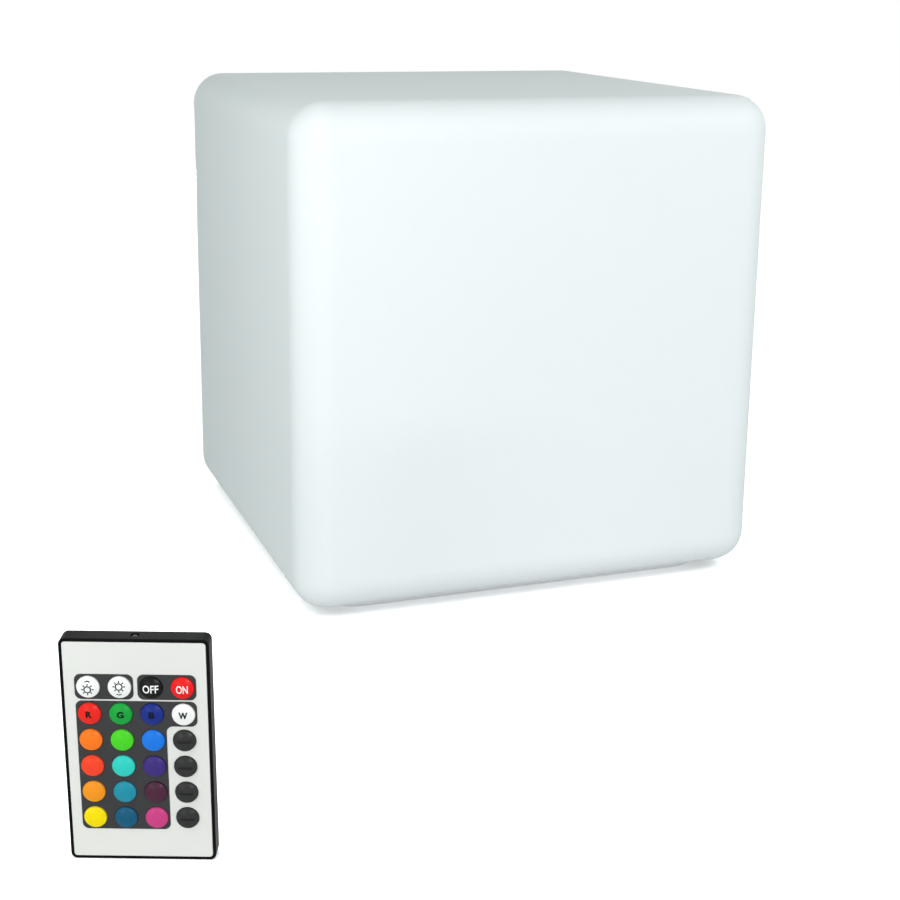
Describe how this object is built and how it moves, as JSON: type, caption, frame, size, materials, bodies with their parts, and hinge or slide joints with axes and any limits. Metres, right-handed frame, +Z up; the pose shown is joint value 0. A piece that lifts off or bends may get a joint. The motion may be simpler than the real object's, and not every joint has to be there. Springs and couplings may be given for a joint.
{
  "type": "cube light",
  "caption": "Rechargeable glowing cube light of white polyethylene with soft edges, and its flat key remote, which stands beside it.",
  "frame": {"origin": "middle of the cube's footprint, on the surface that it stands on", "axes": "+Z up, the front face looks along -Y, +X to the right seen from the front"},
  "size_m": [0.3805, 0.4412, 0.25],
  "materials": {
    "shell_polyethylene": "smooth rotomoulded polyethylene, satin",
    "insert_brass": "knurled brass",
    "gasket_silicone": "translucent silicone",
    "housing_plastic": "fine-textured moulded plastic",
    "screw_steel": "stainless steel",
    "button_plastic": "satin moulded plastic",
    "switch_plastic": "moulded plastic",
    "plunger_plastic": "moulded plastic",
    "jack_plastic": "moulded plastic",
    "contact_nickel": "nickel plate",
    "bung_silicone": "soft silicone",
    "clear_plastic": "clear polycarbonate",
    "board_laminate": "solder mask over glass laminate",
    "component_plastic": "moulded component bodies",
    "cell_sleeve": "shrunk sleeve",
    "nickel_strip": "spot-welded strip",
    "wire_insulation": "insulated wire",
    "reflector_plastic": "white moulded plastic",
    "led_board_mask": "white solder mask",
    "led_package": "LED packages",
    "receiver_epoxy": "dark epoxy",
    "remote_black": "fine-textured black plastic",
    "remote_pale": "satin warm grey plastic",
    "remote_panel": "printed film",
    "keypad_silicone": "silicone",
    "snap_dome_steel": "sprung steel",
    "emitter_epoxy": "tinted epoxy",
    "tray_black": "fine-textured black plastic",
    "coin_steel": "polished steel",
    "key_pale": "domed glossy key",
    "key_black": "domed glossy key",
    "key_signal_red": "domed glossy key",
    "key_red": "domed glossy key",
    "key_green": "domed glossy key",
    "key_blue": "domed glossy key",
    "key_orange": "domed glossy key",
    "key_lime": "domed glossy key",
    "key_azure": "domed glossy key",
    "key_grey": "domed glossy key",
    "key_coral": "domed glossy key",
    "key_turquoise": "domed glossy key",
    "key_indigo": "domed glossy key",
    "key_amber": "domed glossy key",
    "key_teal": "domed glossy key",
    "key_plum": "domed glossy key",
    "key_yellow": "domed glossy key",
    "key_petrol": "domed glossy key",
    "key_pink": "domed glossy key"
  },
  "bodies": {
    "cube_light": {"cube_shell": "shell_polyethylene", "shell_inserts": "insert_brass", "module_gasket": "gasket_silicone", "module_housing": "housing_plastic", "module_screws": "screw_steel", "power_switch": "switch_plastic", "charge_jack": "jack_plastic", "jack_pin": "contact_nickel", "charge_indicator": "clear_plastic", "control_board": "board_laminate", "board_components": "component_plastic", "battery_clamp": "housing_plastic", "battery_cells": "cell_sleeve", "cell_tabs": "nickel_strip", "internal_leads": "wire_insulation", "reflector_plate": "reflector_plastic", "led_board": "led_board_mask", "led_chips": "led_package", "ir_receiver": "receiver_epoxy", "light_dome": "clear_plastic", "dome_seal": "gasket_silicone", "dome_screws": "screw_steel", "inner_screws": "screw_steel"},
    "power_button": {"power_button": "button_plastic", "switch_plunger": "plunger_plastic"},
    "jack_bung": {"jack_bung": "bung_silicone"},
    "remote": {"remote_rear_case": "remote_black", "remote_face_plate": "remote_pale", "remote_key_panels": "remote_panel", "remote_keypad_mat": "keypad_silicone", "remote_circuit_board": "board_laminate", "remote_snap_domes": "snap_dome_steel", "remote_ir_emitter": "emitter_epoxy", "remote_battery_contacts": "contact_nickel"},
    "remote_battery_tray": {"remote_battery_tray": "tray_black", "remote_coin_cell": "coin_steel"},
    "key_brighter": {"key_brighter": "key_pale"},
    "key_dimmer": {"key_dimmer": "key_pale"},
    "key_off": {"key_off": "key_black"},
    "key_on": {"key_on": "key_signal_red"},
    "key_red": {"key_red": "key_red"},
    "key_green": {"key_green": "key_green"},
    "key_blue": {"key_blue": "key_blue"},
    "key_white": {"key_white": "key_pale"},
    "key_orange": {"key_orange": "key_orange"},
    "key_lime": {"key_lime": "key_lime"},
    "key_azure": {"key_azure": "key_azure"},
    "key_effect_a": {"key_effect_a": "key_grey"},
    "key_coral": {"key_coral": "key_coral"},
    "key_turquoise": {"key_turquoise": "key_turquoise"},
    "key_indigo": {"key_indigo": "key_indigo"},
    "key_effect_b": {"key_effect_b": "key_grey"},
    "key_amber": {"key_amber": "key_amber"},
    "key_teal": {"key_teal": "key_teal"},
    "key_plum": {"key_plum": "key_plum"},
    "key_effect_c": {"key_effect_c": "key_grey"},
    "key_yellow": {"key_yellow": "key_yellow"},
    "key_petrol": {"key_petrol": "key_petrol"},
    "key_pink": {"key_pink": "key_pink"},
    "key_effect_d": {"key_effect_d": "key_grey"}
  },
  "joints": [
    {"name": "remote_lift", "type": "slide", "parent": "cube_light", "child": "remote", "axis": [0, 0, 1], "range_m": [0, 0.15]},
    {"name": "remote_tray_slide", "type": "slide", "parent": "remote", "child": "remote_battery_tray", "axis": [0, 0, -1], "range_m": [0, 0.024]},
    {"name": "power_button_press", "type": "slide", "parent": "cube_light", "child": "power_button", "axis": [0, 0, 1], "range_m": [0, 0.0015], "stiffness_N_per_m": 600, "springref_m": -0.001},
    {"name": "jack_bung_pull", "type": "slide", "parent": "cube_light", "child": "jack_bung", "axis": [0, 0, -1], "range_m": [0, 0.007]},
    {"name": "key_brighter_press", "type": "slide", "parent": "remote", "child": "key_brighter", "axis": [0.3469, 0.9379, 0], "range_m": [0, 0.0005], "stiffness_N_per_m": 400, "springref_m": -0.0015},
    {"name": "key_dimmer_press", "type": "slide", "parent": "remote", "child": "key_dimmer", "axis": [0.3469, 0.9379, 0], "range_m": [0, 0.0005], "stiffness_N_per_m": 400, "springref_m": -0.0015},
    {"name": "key_off_press", "type": "slide", "parent": "remote", "child": "key_off", "axis": [0.3469, 0.9379, 0], "range_m": [0, 0.0005], "stiffness_N_per_m": 400, "springref_m": -0.0015},
    {"name": "key_on_press", "type": "slide", "parent": "remote", "child": "key_on", "axis": [0.3469, 0.9379, 0], "range_m": [0, 0.0005], "stiffness_N_per_m": 400, "springref_m": -0.0015},
    {"name": "key_red_press", "type": "slide", "parent": "remote", "child": "key_red", "axis": [0.3469, 0.9379, 0], "range_m": [0, 0.0005], "stiffness_N_per_m": 400, "springref_m": -0.0015},
    {"name": "key_green_press", "type": "slide", "parent": "remote", "child": "key_green", "axis": [0.3469, 0.9379, 0], "range_m": [0, 0.0005], "stiffness_N_per_m": 400, "springref_m": -0.0015},
    {"name": "key_blue_press", "type": "slide", "parent": "remote", "child": "key_blue", "axis": [0.3469, 0.9379, 0], "range_m": [0, 0.0005], "stiffness_N_per_m": 400, "springref_m": -0.0015},
    {"name": "key_white_press", "type": "slide", "parent": "remote", "child": "key_white", "axis": [0.3469, 0.9379, 0], "range_m": [0, 0.0005], "stiffness_N_per_m": 400, "springref_m": -0.0015},
    {"name": "key_orange_press", "type": "slide", "parent": "remote", "child": "key_orange", "axis": [0.3469, 0.9379, 0], "range_m": [0, 0.0005], "stiffness_N_per_m": 400, "springref_m": -0.0015},
    {"name": "key_lime_press", "type": "slide", "parent": "remote", "child": "key_lime", "axis": [0.3469, 0.9379, 0], "range_m": [0, 0.0005], "stiffness_N_per_m": 400, "springref_m": -0.0015},
    {"name": "key_azure_press", "type": "slide", "parent": "remote", "child": "key_azure", "axis": [0.3469, 0.9379, 0], "range_m": [0, 0.0005], "stiffness_N_per_m": 400, "springref_m": -0.0015},
    {"name": "key_effect_a_press", "type": "slide", "parent": "remote", "child": "key_effect_a", "axis": [0.3469, 0.9379, 0], "range_m": [0, 0.0005], "stiffness_N_per_m": 400, "springref_m": -0.0015},
    {"name": "key_coral_press", "type": "slide", "parent": "remote", "child": "key_coral", "axis": [0.3469, 0.9379, 0], "range_m": [0, 0.0005], "stiffness_N_per_m": 400, "springref_m": -0.0015},
    {"name": "key_turquoise_press", "type": "slide", "parent": "remote", "child": "key_turquoise", "axis": [0.3469, 0.9379, 0], "range_m": [0, 0.0005], "stiffness_N_per_m": 400, "springref_m": -0.0015},
    {"name": "key_indigo_press", "type": "slide", "parent": "remote", "child": "key_indigo", "axis": [0.3469, 0.9379, 0], "range_m": [0, 0.0005], "stiffness_N_per_m": 400, "springref_m": -0.0015},
    {"name": "key_effect_b_press", "type": "slide", "parent": "remote", "child": "key_effect_b", "axis": [0.3469, 0.9379, 0], "range_m": [0, 0.0005], "stiffness_N_per_m": 400, "springref_m": -0.0015},
    {"name": "key_amber_press", "type": "slide", "parent": "remote", "child": "key_amber", "axis": [0.3469, 0.9379, 0], "range_m": [0, 0.0005], "stiffness_N_per_m": 400, "springref_m": -0.0015},
    {"name": "key_teal_press", "type": "slide", "parent": "remote", "child": "key_teal", "axis": [0.3469, 0.9379, 0], "range_m": [0, 0.0005], "stiffness_N_per_m": 400, "springref_m": -0.0015},
    {"name": "key_plum_press", "type": "slide", "parent": "remote", "child": "key_plum", "axis": [0.3469, 0.9379, 0], "range_m": [0, 0.0005], "stiffness_N_per_m": 400, "springref_m": -0.0015},
    {"name": "key_effect_c_press", "type": "slide", "parent": "remote", "child": "key_effect_c", "axis": [0.3469, 0.9379, 0], "range_m": [0, 0.0005], "stiffness_N_per_m": 400, "springref_m": -0.0015},
    {"name": "key_yellow_press", "type": "slide", "parent": "remote", "child": "key_yellow", "axis": [0.3469, 0.9379, 0], "range_m": [0, 0.0005], "stiffness_N_per_m": 400, "springref_m": -0.0015},
    {"name": "key_petrol_press", "type": "slide", "parent": "remote", "child": "key_petrol", "axis": [0.3469, 0.9379, 0], "range_m": [0, 0.0005], "stiffness_N_per_m": 400, "springref_m": -0.0015},
    {"name": "key_pink_press", "type": "slide", "parent": "remote", "child": "key_pink", "axis": [0.3469, 0.9379, 0], "range_m": [0, 0.0005], "stiffness_N_per_m": 400, "springref_m": -0.0015},
    {"name": "key_effect_d_press", "type": "slide", "parent": "remote", "child": "key_effect_d", "axis": [0.3469, 0.9379, 0], "range_m": [0, 0.0005], "stiffness_N_per_m": 400, "springref_m": -0.0015}
  ]
}
